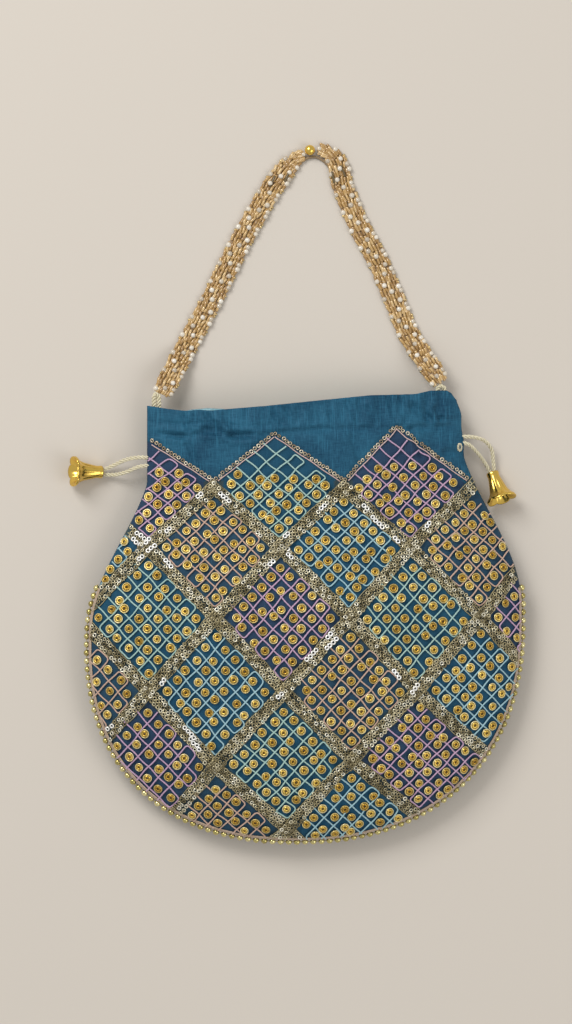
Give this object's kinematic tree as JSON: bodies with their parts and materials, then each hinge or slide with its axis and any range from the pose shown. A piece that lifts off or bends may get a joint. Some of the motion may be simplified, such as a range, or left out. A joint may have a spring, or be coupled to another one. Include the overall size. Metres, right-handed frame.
{
  "type": "potli bag",
  "caption": "Round drawstring evening bag lying on its back, quilted in diamonds of studs and sequin bands, with a beaded strap handle and bells on two draw cords.",
  "frame": {"origin": "on the flat of the back that the bag lies on, under the middle of the belly", "axes": "+X to the bag's right seen from the front, +Y up to the mouth and the handle's crown, +Z out of the embroidered front"},
  "size_m": [0.2301, 0.3527, 0.0355],
  "materials": {
    "silk": "slub silk, deep teal with a soft sheen",
    "lining": "smooth aqua satin",
    "sequins": "rows of champagne ring sequins",
    "mauve_thread": "mauve silk thread with gold studs",
    "mint_thread": "mint silk thread with gold studs",
    "sky_thread": "sky blue silk thread with gold studs",
    "copper_thread": "copper rose silk thread with gold studs",
    "trim_beads": "small polished antique gold beads",
    "strap_beads": "pearls, amber gold bugles and seed beads",
    "cream_cord": "twisted cream cord",
    "gold": "polished yellow gold"
  },
  "bodies": {
    "root": {"front_panel": "silk", "back_panel": "silk", "lining_front": "lining", "lining_back": "lining", "sequin_band_falling_1": "sequins", "sequin_band_falling_2": "sequins", "sequin_band_falling_3": "sequins", "sequin_band_falling_4": "sequins", "sequin_band_rising_1": "sequins", "sequin_band_rising_2": "sequins", "sequin_band_rising_3": "sequins", "sequin_band_rising_4": "sequins", "sequin_zigzag_border": "sequins", "tile_mauve_1_1": "mauve_thread", "tile_mint_1_2": "mint_thread", "tile_mauve_1_3": "mauve_thread", "tile_sky_2_1": "sky_thread", "tile_copper_2_2": "copper_thread", "tile_sky_2_3": "sky_thread", "tile_copper_2_4": "copper_thread", "tile_mint_3_1": "mint_thread", "tile_mauve_3_2": "mauve_thread", "tile_mint_3_3": "mint_thread", "tile_mauve_3_4": "mauve_thread", "tile_copper_4_1": "copper_thread", "tile_sky_4_2": "sky_thread", "tile_copper_4_3": "copper_thread", "tile_sky_4_4": "sky_thread", "tile_mauve_5_1": "mauve_thread", "tile_mint_5_2": "mint_thread", "tile_mauve_5_3": "mauve_thread", "tile_copper_6_1": "copper_thread", "tile_sky_6_2": "sky_thread", "edge_bead_trim": "trim_beads", "handle_loop_left": "cream_cord", "handle_loop_right": "cream_cord", "beaded_strap_left": "strap_beads", "beaded_strap_right": "strap_beads", "crown_bead": "gold", "draw_cord_left": "cream_cord", "draw_cord_right": "cream_cord", "bell_left": "gold", "bell_right": "gold", "cord_knot_left": "cream_cord", "cord_knot_right": "cream_cord"}
  },
  "joints": []
}
